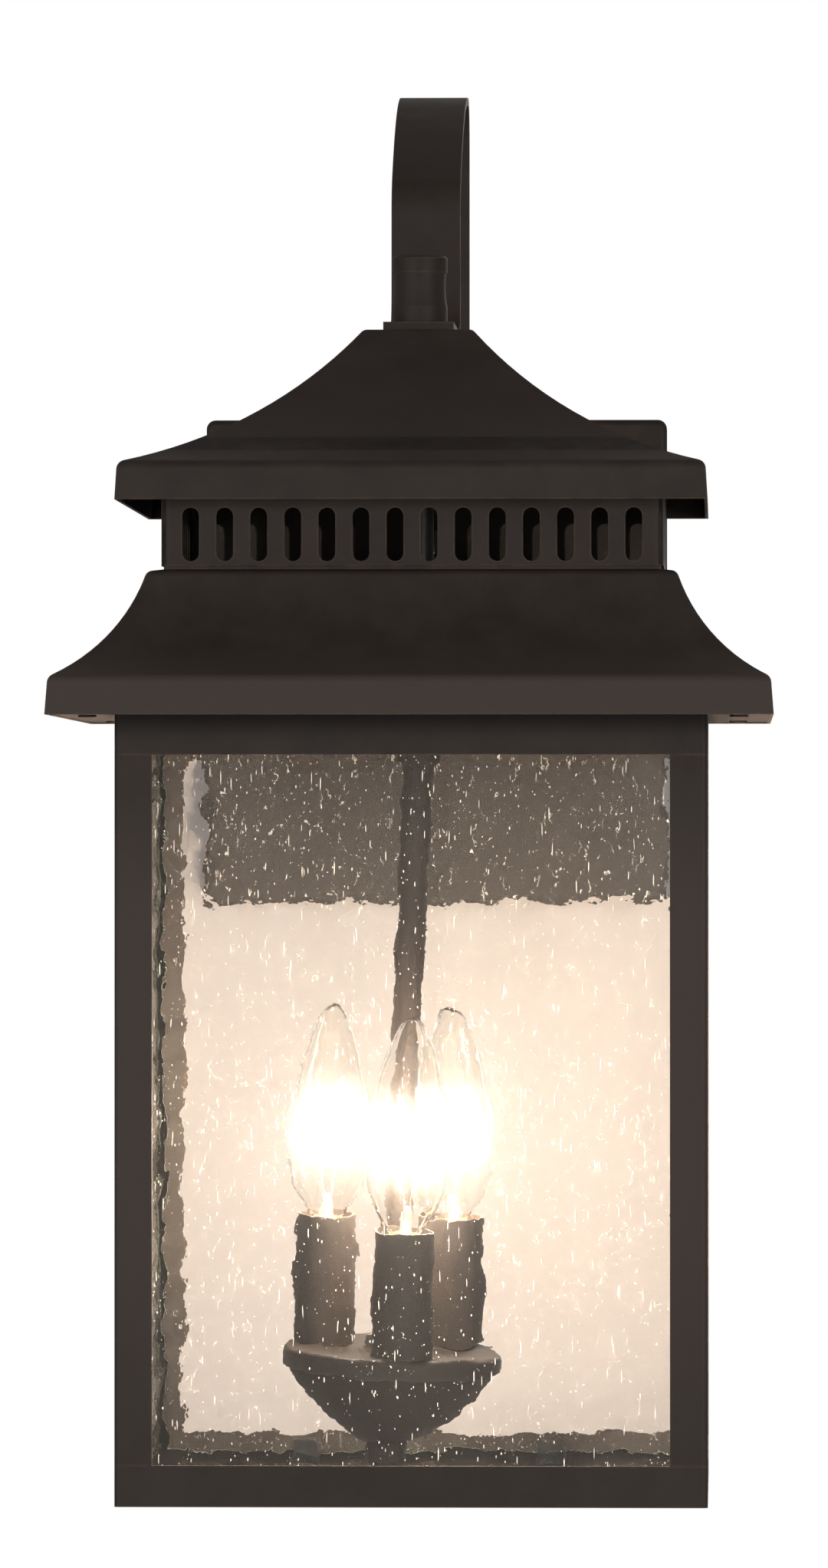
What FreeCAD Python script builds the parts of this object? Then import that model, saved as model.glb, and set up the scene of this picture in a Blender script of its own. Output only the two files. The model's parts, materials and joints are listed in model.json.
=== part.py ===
import FreeCAD
import Part
import math
import os

# A square two-tier wall lantern: a wall plate, a flat strap arm, two flared roofs with a slotted vent ring
# between them, a cage glazed on four sides and open below, and three candle lamps on a hanging stem.
# Millimetres. The wall is the plane Y = 0, the lantern stands in front of it at negative Y, and +Z is up.

V = FreeCAD.Vector

# Fits
pass_gap = 0.2          # round a shank, pipe or nipple in its hole
seat_gap = 0.1          # between pieces that lie in one another's grooves and bores
turn_gap = 0.35         # round the lamp cap, which turns in its socket

# Wall plate and its seal
plate_width = 176.0
plate_height = 184.0
plate_corner = 3.5
plate_edge = 2.4
plate_front = 20.0      # front face, from the wall
plate_sheet = 1.5
gasket_thick = 2.0
gasket_inset = 0.5
gasket_band = 8.0

# Bracket on the wall box
bracket_length = 140.0
bracket_width = 28.0
bracket_thick = 2.5
box_spacing = 88.9
box_slot_r = 2.4
box_slot_length = 14.0
stud_spacing = 120.0
stud_r = 2.0
stud_past = 8.0         # past the plate's front
cap_nut_r = 5.5
cap_nut_hex = 4.0
cap_nut_roof = 1.5      # metal over the end of the stud
ground_screw_z = 8.0
ground_screw_r = 2.0
ground_head_r = 4.0
ground_head = 2.5

# Rubber grommets for the lead
grommet_hole_r = 5.5
grommet_rim_r = 7.5
grommet_bore_r = 3.0
grommet_rim = 1.8
lead_gap = 5.0          # from the backing plate down to the plate's grommet

# Strap arm
strap_width = 25.4
strap_thick = 3.0
arm_top = 213.2
arm_foot_front = 15.0   # foot, ahead of the lantern's axis
arm_foot_back = 58.0    # foot, behind the axis to the bend
arm_foot_r = 18.0
arm_rise = 29.0         # straight part above the foot's bend
arm_shoulder_r = 14.0
arm_back_r = 15.0       # bend down onto the plate
arm_screw_drops = (32.0, 12.0)   # below the plate's upper edge
arm_leg_past = 10.0     # strap's end, below the lower screw
arm_screw_r = 2.4
arm_screw_head_r = 4.5
arm_screw_head = 2.8
backing_width = 34.0
backing_height = 38.0
backing_thick = 3.0
arm_screw_past = 2.0    # past the backing plate

# Lantern axis, roofs and ring
axis_out = 229.0        # lantern's axis, from the wall
roof_sheet = 1.2
crown_half = 19.5
crown_z = 114.4
crown_round = 3.0
upper_mid_share = (0.386, 0.558)   # point on the slope's curve, as a share of its run out and of its fall
upper_eave_half = 103.2
upper_eave_top = 63.8
upper_eave_flare = 0.8
upper_eave_face = 13.3
lower_ledge = 4.7       # top of the lower roof, out from the ring
lower_top_z = 26.4
ledge_fall = 0.8        # from the collar out to the slope
lower_mid_share = (0.348, 0.556)
lower_eave_half = 126.0
lower_eave_top = -12.0
lower_eave_flare = 1.0
lower_eave_face = 13.2
eave_round = 3.5
collar_inset = 1.0      # in from the ring
collar_rise = 1.2
mouth_inset = 21.5      # opening in the lower roof, in from its collar
ring_half = 88.5
ring_corner = 3.5
ring_sheet = 1.0
ring_flange = 10.5
slot_count = 14
slot_width = 5.9
slot_margin = 10.5      # from the ring's side to the middle of its first slot
slot_rise = 1.6
slot_height = 18.9
rear_slots_left_out = 2   # room for the grommet
ring_screw_x = 36.0
ring_screw_inset = 6.5
small_screw_r = 1.5
small_head_r = 2.5
small_head = 1.8
small_tail = 4.0

# Cage
cage_half = 104.0
cage_height = 277.8
cage_corner = 2.0
cage_inner_corner = 0.5
cage_sheet = 1.5
soffit_sheet = 1.5
soffit_rise = 0.5       # above the eave's lower edge
soffit_screw_y = 80.0
soffit_head_r = 3.3
soffit_head = 1.0
tab_width = 14.0
tab_sheet = 1.5
tab_rise = 8.0
post_face = 13.25
top_rail_face = 14.3
bottom_rail_face = 14.5
cage_flange = 10.5
cage_screw_x = 70.0
cage_screw_inset = 5.5

# Glass and its clips
glass_thick = 3.0
glass_lap = 7.0
clip_sheet = 0.8
clip_width = 10.0
clip_foot = 5.0
clip_lip = 5.0
clip_x = 45.0

# Tie pipe, crossbar and finial
pipe_r = 5.1
pipe_bore_r = 3.4
pipe_nut_r = 8.6
pipe_nut_height = 6.0
bar_width = 25.0
bar_thick = 4.0
bar_lap = 7.0           # over the flange it hangs from
bar_screw_inset = 3.5
bar_screw_r = 1.8
bar_screw_head_r = 3.4
bar_screw_head = 2.4
finial_r = 10.05
finial_waist_r = 9.3
finial_height = 24.3
finial_collar = 6.0
finial_waist_drop = 10.0
finial_foot = 6.0       # straight part above the strap
finial_step = 0.4
finial_bevel = 0.8
finial_thread = 17.0

# Stem, which hangs a little out of plumb
lean_side = 2.75
lean_back = 4.5
coupling_r = 8.0
coupling_height = 10.0
coupling_pipe = 4.7     # depth taken by the pipe
coupling_web = 0.6
stem_r = 5.5
stem_bore_r = 4.0
stem_nut_r = 9.4
stem_nut_height = 4.0
stem_end = 4.0          # into the knob

# Candle cluster
cover_drop = 223.3      # cover's top, below the crossbar
cover_r = 39.6
cover_sheet = 1.2
cover_lip = 7.0
cover_round = 2.0
bowl_sheet = 1.2
bowl_depth = 27.0       # below the cover's lip
bowl_foot_r = 9.0
bowl_mid_share_r = 0.632   # point on the bowl's curve, as a share of its fall inward and down
bowl_mid_share_z = 0.5
knob_r = 7.3
knob_height = 9.5
knob_round = 3.0
lamp_circle = 27.4
lamp_angles = (248.5, 8.5, 128.5)   # left, front and right, from the front towards +X
lamp_leans = (-1.0, -0.6, -3.3)     # of the same three to the side, from the stem
sleeve_r = 10.85
sleeve_wall = 0.9
sleeve_height = 46.0
socket_r = 8.9
socket_drop = 2.0       # top of the socket, below the sleeve's rim
socket_height = 31.5
socket_bore_r = 7.0
socket_floor = 19.8     # floor of the bore, below the socket's top
shell_wall = 0.6
shell_drop = 0.5
shell_height = 15.0
nipple_r = 4.5
nipple_bore_r = 3.0
nipple_in_socket = 5.0
nipple_nut_r = 7.0
nipple_nut_height = 4.0
contact_r = 3.0
contact_height = 1.5

# Lamps, heights from the sleeve's rim
lamp_r = 15.6
lamp_widest = 27.5
lamp_tip = 77.4
lamp_tip_r = 2.2
lamp_tip_round = 1.0
lamp_neck_r = 6.7
lamp_glass = 0.8
lamp_tail_r = 5.1
lamp_tail_step = 0.8
lamp_tail_low = 9.0
cap_top = 1.0
cap_wall = 0.3
cap_cone = 3.5
cap_tip_r = 2.0
cap_cone_r = 2.6
cap_tip_height = 1.5
press_r = 2.2
press_low = 8.0
press_high = 9.0
wire_r = 0.35
wire_spread = 4.0
filament_z = 27.0
filament_r = 0.55

# Worked-out places
plate_inner = plate_front - plate_sheet
strap_front = plate_front + strap_thick
arm_screw_z = [plate_height / 2 - drop for drop in arm_screw_drops]
arm_leg_low = min(arm_screw_z) - arm_leg_past
backing_middle = sum(arm_screw_z) / len(arm_screw_z)
plate_lead_z = backing_middle - backing_height / 2 - lead_gap - grommet_rim_r
upper_rim_half = upper_eave_half + upper_eave_flare
upper_rim_z = upper_eave_top - upper_eave_face
collar_half = ring_half - collar_inset
roof_mouth_half = collar_half - mouth_inset
lower_top_half = ring_half + lower_ledge
lower_rim_half = lower_eave_half + lower_eave_flare
lower_rim_z = lower_eave_top - lower_eave_face
lower_ledge_z = lower_top_z - ledge_fall
ring_low = lower_top_z + collar_rise
ring_flange_half = ring_half - ring_flange
ring_screw_in = ring_half - ring_screw_inset
slot_pitch = 2 * (ring_half - slot_margin) / (slot_count - 1)
slot_low = ring_low + slot_rise
slot_high = slot_low + slot_height
ring_lead_z = (slot_low + slot_high) / 2
soffit_low = lower_rim_z + soffit_rise
soffit_screw_x = (cage_half + lower_eave_half) / 2
flange_low = soffit_low - cage_sheet
cage_low = soffit_low - cage_height
window_half = cage_half - post_face
window_top = soffit_low - top_rail_face
window_low = cage_low + bottom_rail_face
glass_face = cage_half - cage_sheet
cage_mouth_half = glass_face - cage_flange
cage_screw_in = glass_face - cage_screw_inset
bar_low = flange_low - bar_thick
bar_half = cage_mouth_half + bar_lap
bar_screw_x = bar_half - bar_screw_inset
foot_top = crown_z + strap_thick
cover_z = bar_low - cover_drop
lip_z = cover_z - cover_lip
bowl_z = lip_z - bowl_depth
rim_z = cover_z + sleeve_height
socket_top = rim_z - socket_drop
socket_low = socket_top - socket_height
bore_floor = socket_top - socket_floor
lamp_pivot_z = socket_low + nipple_in_socket / 2
cap_r = socket_bore_r - seat_gap - shell_wall - turn_gap
reach = 2 * axis_out    # longer than any cut


def box(x0, x1, y0, y1, z0, z1):
    return Part.makeBox(x1 - x0, y1 - y0, z1 - z0, V(x0, y0, z0))


def rod(r, start, end):
    line = end - start
    return Part.makeCylinder(r, line.Length, start, line)


def hexagon(r, start, end):
    line = end - start
    turn = FreeCAD.Rotation(V(0, 0, 1), line)
    corners = [start + turn.multVec(V(r * math.cos(k * math.pi / 3), r * math.sin(k * math.pi / 3), 0))
               for k in range(7)]
    return Part.Face(Part.makePolygon(corners)).extrude(line)


def loop(start, *steps):
    # A closed wire: a point is reached by a line, a pair (middle, end) by an arc
    edges = []
    here = start
    for step in steps:
        if isinstance(step, tuple):
            edges.append(Part.Arc(here, step[0], step[1]).toShape())
            here = step[1]
        else:
            edges.append(Part.LineSegment(here, step).toShape())
            here = step
    edges.append(Part.LineSegment(here, start).toShape())
    return Part.Wire(edges)


def at(r, z):
    return V(r, 0, z)


def turned(*outline):
    return Part.Face(loop(*outline)).revolve(V(0, 0, 0), V(0, 0, 1), 360)


def on_axis(shape):
    shape.translate(V(0, -axis_out, 0))
    return shape


def turned_about(shape, angle):
    copy = shape.copy()
    copy.rotate(V(0, -axis_out, 0), V(0, 0, 1), angle)
    return copy


def hung(shape):
    # From plumb below the crossbar to the lean of the stem
    pivot = V(0, -axis_out, bar_low)
    copy = shape.copy()
    copy.rotate(pivot, V(1, 0, 0), lean_back)
    copy.rotate(pivot, V(0, 1, 0), lean_side)
    return copy


def lowest(shape):
    return min(shape.Solids, key=lambda solid: solid.BoundBox.ZMin)


def save(name, *shapes):
    solids = [solid for shape in shapes for solid in shape.Solids]
    piece = solids[0] if len(solids) == 1 else Part.makeCompound(solids)
    piece.exportStep("parts/" + name + ".step")


def rounded_block(half_x, half_z, y0, y1, corner):
    block = box(-half_x, half_x, y0, y1, -half_z, half_z)
    along = [e for e in block.Edges if abs(e.tangentAt(e.FirstParameter).y) > 0.99]
    return block.makeFillet(corner, along)


def rounded_post(half, z0, z1, corner):
    block = box(-half, half, -half, half, z0, z1)
    upright = [e for e in block.Edges if abs(e.tangentAt(e.FirstParameter).z) > 0.99]
    return on_axis(block.makeFillet(corner, upright))


# Wall plate, seal and bracket
def wall_plate():
    back = -gasket_thick
    half_x = plate_width / 2
    half_z = plate_height / 2
    pan = rounded_block(half_x, half_z, -plate_front, back, plate_corner)
    rim = [e for e in pan.Edges if e.BoundBox.YMax < -plate_front + seat_gap]
    pan = pan.makeFillet(plate_edge, rim)
    hollow = rounded_block(half_x - plate_sheet, half_z - plate_sheet, -plate_inner, back + plate_sheet,
                           plate_corner - plate_sheet)
    inner_rim = [e for e in hollow.Edges if e.BoundBox.YMax < -plate_inner + seat_gap]
    pan = pan.cut(hollow.makeFillet(plate_edge - plate_sheet, inner_rim))
    for side in (-1, 1):
        pan = pan.cut(rod(stud_r + pass_gap, V(side * stud_spacing / 2, 0, 0),
                          V(side * stud_spacing / 2, -reach, 0)))
    for z in arm_screw_z:
        pan = pan.cut(rod(arm_screw_r + pass_gap, V(0, 0, z), V(0, -reach, z)))
    return pan.cut(rod(grommet_hole_r, V(0, 0, plate_lead_z), V(0, -reach, plate_lead_z)))


def wall_gasket():
    half_x = plate_width / 2 - gasket_inset
    half_z = plate_height / 2 - gasket_inset
    pad = rounded_block(half_x, half_z, -gasket_thick, 0, plate_corner - gasket_inset)
    return pad.cut(rounded_block(half_x - gasket_band, half_z - gasket_band, -reach, reach, plate_corner))


def mounting_bracket():
    bar = box(-bracket_length / 2, bracket_length / 2, -bracket_thick, 0,
              -bracket_width / 2, bracket_width / 2)
    for side in (-1, 1):
        middle = side * box_spacing / 2
        run = box_slot_length / 2 - box_slot_r
        bar = bar.cut(box(middle - run, middle + run, -reach, reach, -box_slot_r, box_slot_r))
        for end in (-run, run):
            bar = bar.cut(rod(box_slot_r, V(middle + end, reach, 0), V(middle + end, -reach, 0)))
        stud_x = side * stud_spacing / 2
        bar = bar.cut(rod(stud_r, V(stud_x, reach, 0), V(stud_x, -reach, 0)))
    return bar.cut(rod(ground_screw_r, V(0, reach, ground_screw_z), V(0, -reach, ground_screw_z)))


def ground_screw():
    head_y = -bracket_thick - ground_head
    head = rod(ground_head_r, V(0, -bracket_thick, ground_screw_z), V(0, head_y, ground_screw_z))
    shank = rod(ground_screw_r, V(0, 0, ground_screw_z), V(0, -bracket_thick, ground_screw_z))
    return head.fuse(shank)


def bracket_stud(x):
    return rod(stud_r, V(x, 0, 0), V(x, -plate_front - stud_past, 0))


def cap_nut(x):
    hex_end = -plate_front - cap_nut_hex
    nut = hexagon(cap_nut_r, V(x, -plate_front, 0), V(x, hex_end, 0))
    dome_r = stud_past + cap_nut_roof - cap_nut_hex
    dome = Part.makeSphere(dome_r, V(x, hex_end, 0))
    across = cap_nut_r * math.cos(math.pi / 6)
    nut = nut.fuse(dome.common(rod(min(across, dome_r), V(x, hex_end, 0), V(x, -reach, 0))))
    return nut.cut(rod(stud_r + seat_gap, V(x, -plate_front, 0),
                       V(x, -plate_front - stud_past - seat_gap, 0)))


def grommet(sheet, face_y, z):
    # Lies in a sheet whose outer face is at face_y and whose metal runs towards +Y
    groove = sheet / 2 + seat_gap
    end = groove + grommet_rim
    groove_r = grommet_hole_r - seat_gap
    ring = turned(at(grommet_bore_r, -end), at(grommet_rim_r, -end), at(grommet_rim_r, -groove),
                  at(groove_r, -groove), at(groove_r, groove), at(grommet_rim_r, groove),
                  at(grommet_rim_r, end), at(grommet_bore_r, end))
    ring.rotate(V(0, 0, 0), V(1, 0, 0), 90)
    ring.translate(V(0, face_y + sheet / 2, z))
    return ring


# Strap arm
def bent_strip(start, heading, moves):
    # A strip of the strap's thickness in the YZ plane: a move is a run, or a pair (radius, turn in degrees)
    half = strap_thick / 2
    near = []
    far = []
    here = start
    angle = math.radians(heading)

    def side(point, direction, offset):
        return V(0, point.y - offset * math.sin(direction), point.z + offset * math.cos(direction))

    for move in moves:
        if isinstance(move, tuple):
            radius, turn = move
            bend = math.radians(turn)
            way = math.copysign(radius, bend)
            centre = side(here, angle, way)
            middle = side(centre, angle + bend / 2, -way)
            end = side(centre, angle + bend, -way)
            for edges, offset in ((near, half), (far, -half)):
                edges.append(Part.Arc(side(here, angle, offset), side(middle, angle + bend / 2, offset),
                                      side(end, angle + bend, offset)).toShape())
            angle += bend
        else:
            end = V(0, here.y + move * math.cos(angle), here.z + move * math.sin(angle))
            for edges, offset in ((near, half), (far, -half)):
                edges.append(Part.LineSegment(side(here, angle, offset), side(end, angle, offset)).toShape())
        here = end
    outset = math.radians(heading)
    first = Part.LineSegment(side(start, outset, half), side(start, outset, -half))
    last = Part.LineSegment(side(here, angle, half), side(here, angle, -half))
    outline = Part.Wire(Part.__sortEdges__(near + far + [first.toShape(), last.toShape()]))
    face = Part.Face(outline)
    face.translate(V(-strap_width / 2, 0, 0))
    return face.extrude(V(strap_width, 0, 0))


def arm_strap():
    # The shoulder and the crown are two arcs that meet without a kink, upright below and level at the top
    half = strap_thick / 2
    run = axis_out - arm_foot_back - arm_foot_r - plate_front - half - arm_back_r
    climb = arm_top - half - (crown_z + half + arm_foot_r + arm_rise)
    past_run = run - arm_shoulder_r
    past_climb = climb - arm_shoulder_r
    spare = (past_run ** 2 + past_climb ** 2) / (2 * past_climb)
    turn = math.degrees(math.atan2(spare - past_climb, past_run))
    moves = [arm_foot_front + arm_foot_back, (arm_foot_r, 90), arm_rise, (arm_shoulder_r, -turn),
             (arm_shoulder_r + spare, turn - 90), (arm_back_r, -90),
             arm_top - half - arm_back_r - arm_leg_low]
    strap = bent_strip(V(0, -axis_out - arm_foot_front, crown_z + half), 0, moves)
    strap = strap.cut(rod(pipe_r + pass_gap, V(0, -axis_out, crown_z - strap_thick),
                          V(0, -axis_out, foot_top + strap_thick)))
    for z in arm_screw_z:
        strap = strap.cut(rod(arm_screw_r + pass_gap, V(0, -plate_inner, z), V(0, -strap_front - half, z)))
    return strap


def arm_backing_plate():
    plate = box(-backing_width / 2, backing_width / 2, -plate_inner, -plate_inner + backing_thick,
                backing_middle - backing_height / 2, backing_middle + backing_height / 2)
    for z in arm_screw_z:
        plate = plate.cut(rod(arm_screw_r, V(0, 0, z), V(0, -reach, z)))
    return plate


def arm_screw(z):
    head = rod(arm_screw_head_r, V(0, -strap_front, z), V(0, -strap_front - arm_screw_head, z))
    rim = [e for e in head.Edges if e.BoundBox.YMax < -strap_front - arm_screw_head / 2]
    head = head.makeFillet(arm_screw_head / 2, rim)
    return head.fuse(rod(arm_screw_r, V(0, -plate_inner + backing_thick + arm_screw_past, z),
                         V(0, -strap_front, z)))


# Roofs and vent ring
def flared(profile, rounds, inset=0.0):
    # Two crossed prisms of one front profile, so that every level is a square and the hips are mitred.
    # A profile is the right half from the crown down, a step as in loop
    def mirrored(step):
        if isinstance(step, tuple):
            return tuple(mirrored(p) for p in step)
        return V(-step.x, 0, step.z)

    def ends(step):
        return step[-1] if isinstance(step, tuple) else step

    left = [mirrored(ends(profile[-1]))]
    for k in range(len(profile) - 1, 0, -1):
        start = mirrored(ends(profile[k - 1]))
        left.append((mirrored(profile[k][0]), start) if isinstance(profile[k], tuple) else start)
    face = Part.Face(loop(*profile, *left))
    if inset:
        face = face.makeOffset2D(-inset, 2)
    face.translate(V(0, -reach / 2, 0))
    prism = face.extrude(V(0, reach, 0))
    for place, radius in rounds:
        if radius > inset:
            edges = [e for e in prism.Edges if abs(e.tangentAt(e.FirstParameter).y) > 0.99
                     and (V(abs(e.Vertexes[0].X), 0, e.Vertexes[0].Z) - place).Length < 2 * inset + seat_gap]
            prism = prism.makeFillet(radius - inset, edges)
    other = prism.copy()
    other.rotate(V(0, 0, 0), V(0, 0, 1), 90)
    return on_axis(prism.common(other))


def slope(top, eave, share):
    return (at(top.x + share[0] * (eave.x - top.x), top.z + share[1] * (eave.z - top.z)), eave)


def upper_profile(drop):
    flare = upper_eave_flare / upper_eave_face
    top = at(crown_half, crown_z)
    return [top, slope(top, at(upper_eave_half, upper_eave_top), upper_mid_share),
            at(upper_rim_half + drop * flare, upper_rim_z - drop)]


def lower_profile(drop):
    flare = lower_eave_flare / lower_eave_face
    top = at(lower_top_half, lower_ledge_z)
    return [at(collar_half, ring_low), at(collar_half, lower_top_z), top,
            slope(top, at(lower_eave_half, lower_eave_top), lower_mid_share),
            at(lower_rim_half + drop * flare, lower_rim_z - drop)]


upper_rounds = [(at(crown_half, crown_z), crown_round),
                (at(upper_eave_half, upper_eave_top), eave_round)]
lower_rounds = [(at(lower_top_half, lower_ledge_z), crown_round),
                (at(lower_eave_half, lower_eave_top), eave_round)]
lower_hollow = flared(lower_profile(2 * roof_sheet), lower_rounds, roof_sheet)


def upper_roof():
    shell = flared(upper_profile(0), upper_rounds)
    shell = shell.cut(flared(upper_profile(2 * roof_sheet), upper_rounds, roof_sheet))
    return shell.cut(rod(pipe_r + pass_gap, V(0, -axis_out, 0), V(0, -axis_out, reach)))


def ring_screw_places():
    return [(sx, sy) for side in (-1, 1) for along in (-ring_screw_x, ring_screw_x)
            for sx, sy in ((along, side * ring_screw_in), (side * ring_screw_in, along))]


def lower_roof():
    shell = flared(lower_profile(0), lower_rounds).cut(lower_hollow)
    shell = shell.cut(rounded_post(roof_mouth_half, 0, reach, ring_corner))
    for x, y in ring_screw_places():
        shell = shell.cut(rod(small_screw_r + pass_gap, V(x, y - axis_out, 0), V(x, y - axis_out, reach)))
    return shell


def ring_screw(x, y):
    top = ring_low + ring_sheet
    head = rod(small_head_r, V(x, y - axis_out, top), V(x, y - axis_out, top + small_head))
    return head.fuse(rod(small_screw_r, V(x, y - axis_out, ring_low - roof_sheet - small_tail),
                         V(x, y - axis_out, top)))


def vent_slots(left_out=0):
    # Cutters for the face towards -Y, with the middle ones left out
    cutters = []
    r = slot_width / 2
    for k in range(slot_count):
        place = k - (slot_count - 1) / 2
        if abs(place) * 2 < left_out:
            continue
        x = place * slot_pitch
        cut = box(x - r, x + r, -axis_out - ring_half - ring_corner, -axis_out - ring_half + ring_corner,
                  slot_low + r, slot_high - r)
        for z in (slot_low + r, slot_high - r):
            cut = cut.fuse(rod(r, V(x, -axis_out - ring_half - ring_corner, z),
                               V(x, -axis_out - ring_half + ring_corner, z)))
        cutters.append(cut)
    return Part.makeCompound(cutters)


def vent_ring(roof):
    ring = rounded_post(ring_half, ring_low, crown_z, ring_corner)
    ring = ring.cut(rounded_post(ring_half - ring_sheet, ring_low + ring_sheet, reach,
                                 ring_corner - ring_sheet))
    ring = ring.cut(rounded_post(ring_flange_half, 0, reach, ring_corner))
    ring = lowest(ring.cut(roof))
    for angle in (0, 90, 270):
        ring = ring.cut(turned_about(vent_slots(), angle))
    ring = ring.cut(turned_about(vent_slots(rear_slots_left_out), 180))
    ring = ring.cut(rod(grommet_hole_r, V(0, -axis_out, ring_lead_z), V(0, 0, ring_lead_z)))
    for x, y in ring_screw_places():
        ring = ring.cut(rod(small_screw_r + pass_gap, V(x, y - axis_out, 0), V(x, y - axis_out, slot_low)))
    return ring


def vent_side(ring, angle):
    # The ring's side towards -Y before the turn, with a seam along each mitre
    tip = V(0, -seat_gap * math.sqrt(0.5), 0)
    wedge = Part.makePolygon([tip, tip + V(reach, -reach, 0), tip + V(-reach, -reach, 0), tip])
    wedge = on_axis(Part.Face(wedge).extrude(V(0, 0, reach)))
    return ring.common(turned_about(wedge, angle))


# Cage
def cage_screw_places():
    return [(sx, sy) for side in (-1, 1) for along in (-cage_screw_x, cage_screw_x)
            for sx, sy in ((along, side * cage_screw_in), (side * cage_screw_in, along))]


def screw_holes(shape):
    for x, y in cage_screw_places():
        shape = shape.cut(rod(small_screw_r + pass_gap, V(x, y - axis_out, flange_low - reach),
                              V(x, y - axis_out, reach)))
    for side in (-1, 1):
        shape = shape.cut(rod(bar_screw_r + pass_gap, V(side * bar_screw_x, -axis_out, flange_low - reach),
                              V(side * bar_screw_x, -axis_out, reach)))
    return shape


def soffit_screw_places():
    return [(x, y) for x in (-soffit_screw_x, soffit_screw_x) for y in (-soffit_screw_y, soffit_screw_y)]


def roof_soffit():
    slab = rounded_post(lower_rim_half + roof_sheet, soffit_low, soffit_low + soffit_sheet, cage_corner)
    slab = slab.common(lower_hollow).cut(rounded_post(cage_mouth_half, -reach, reach, cage_corner))
    for x, y in soffit_screw_places():
        slab = slab.cut(rod(small_screw_r + pass_gap, V(x, y - axis_out, -reach), V(x, y - axis_out, reach)))
    return screw_holes(slab)


def soffit_tab(x, y):
    # An angle with one leg on the soffit and the other against the inside of the eave
    low = soffit_low + soffit_sheet
    side = math.copysign(1, x)
    ends = sorted((x - side * tab_width / 2, side * lower_rim_half))
    middle = y - axis_out
    tab = box(ends[0], ends[1], middle - tab_width / 2, middle + tab_width / 2, low, low + tab_rise)
    above = box(-reach, reach, -reach - axis_out, reach, low + tab_sheet, reach)
    tab = tab.common(lower_hollow).cut(above.common(lower_hollow.translated(V(-side * tab_sheet, 0, 0))))
    return tab.cut(rod(small_screw_r + seat_gap, V(x, middle, -reach), V(x, middle, reach)))


def soffit_screw(x, y):
    under = soffit_low - soffit_head
    head = rod(soffit_head_r, V(x, y - axis_out, under), V(x, y - axis_out, soffit_low))
    rim = [e for e in head.Edges if e.BoundBox.ZMax < under + soffit_head / 2]
    head = head.makeFillet(soffit_head / 2, rim)
    return head.fuse(rod(small_screw_r, V(x, y - axis_out, soffit_low),
                         V(x, y - axis_out, soffit_low + soffit_sheet + tab_sheet + small_tail)))


def cage_wall(z0, z1):
    tube = rounded_post(cage_half, z0, z1, cage_corner)
    return tube.cut(rounded_post(glass_face, z0 - reach, z1 + reach, cage_inner_corner))


def flange(z0):
    slab = rounded_post(glass_face, z0, z0 + cage_sheet, cage_inner_corner)
    return slab.cut(rounded_post(cage_mouth_half, -reach, reach, cage_corner))


def cage_top_rail():
    return screw_holes(cage_wall(window_top, soffit_low).fuse(flange(flange_low)).removeSplitter())


def cage_bottom_rail():
    return cage_wall(cage_low, window_low).fuse(flange(cage_low)).removeSplitter()


def cage_posts():
    tube = cage_wall(window_low, window_top)
    window = box(-window_half, window_half, -reach - axis_out, reach, -reach, reach)
    tube = tube.cut(window).cut(turned_about(window, 90))
    sides = {-1: "left", 1: "right"}
    ends = {-1: "front", 1: "back"}
    posts = {}
    for solid in tube.Solids:
        middle = solid.BoundBox.Center
        end = ends[int(math.copysign(1, middle.y + axis_out))]
        posts["post_" + end + "_" + sides[int(math.copysign(1, middle.x))]] = solid
    return posts


def cage_screw(x, y):
    head = rod(small_head_r, V(x, y - axis_out, flange_low - small_head), V(x, y - axis_out, flange_low))
    return head.fuse(rod(small_screw_r, V(x, y - axis_out, flange_low),
                         V(x, y - axis_out, soffit_low + soffit_sheet + small_tail)))


def pane(angle):
    half = window_half + glass_lap
    sheet = box(-half, half, -axis_out - glass_face, -axis_out - glass_face + glass_thick,
                window_low - glass_lap, window_top + glass_lap)
    return turned_about(sheet, angle)


def glass_clip(x, edge_z, up, angle):
    # A bent strip: a foot on the rail beyond the pane's edge, a step over it and a lip on its inner face
    def place(depth, rise):
        return V(x - clip_width / 2, -axis_out - glass_face + depth, edge_z + up * rise)

    near = glass_thick + clip_sheet
    strip = Part.Face(loop(place(0, seat_gap), place(0, clip_foot), place(clip_sheet, clip_foot),
                           place(clip_sheet, seat_gap + clip_sheet), place(near, seat_gap + clip_sheet),
                           place(near, -clip_lip), place(glass_thick, -clip_lip),
                           place(glass_thick, seat_gap)))
    return turned_about(strip.extrude(V(clip_width, 0, 0)), angle)


def glass_clips():
    return [glass_clip(side * clip_x, edge, up, angle) for angle in (0, 90, 180, 270) for side in (-1, 1)
            for edge, up in ((window_top + glass_lap, 1), (window_low - glass_lap, -1))]


# Tie pipe, crossbar, finial and stem
def crossbar():
    bar = box(-bar_half, bar_half, -axis_out - bar_width / 2, -axis_out + bar_width / 2, bar_low, flange_low)
    bar = bar.cut(rod(pipe_r + pass_gap, V(0, -axis_out, -reach), V(0, -axis_out, reach)))
    return screw_holes(bar)


def bar_screw(x):
    head = rod(bar_screw_head_r, V(x, -axis_out, bar_low - bar_screw_head), V(x, -axis_out, bar_low))
    return head.fuse(rod(bar_screw_r, V(x, -axis_out, bar_low),
                         V(x, -axis_out, soffit_low + soffit_sheet + small_tail)))


def tube(r, bore_r, z0, z1):
    return on_axis(rod(r, at(0, z0), at(0, z1)).cut(rod(bore_r, at(0, z0 - reach), at(0, z1 + reach))))


def nut(r, bore_r, z0, height):
    solid = hexagon(r, at(0, z0), at(0, z0 + height))
    return on_axis(solid.cut(rod(bore_r + seat_gap, at(0, z0 - height), at(0, z0 + 2 * height))))


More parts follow.
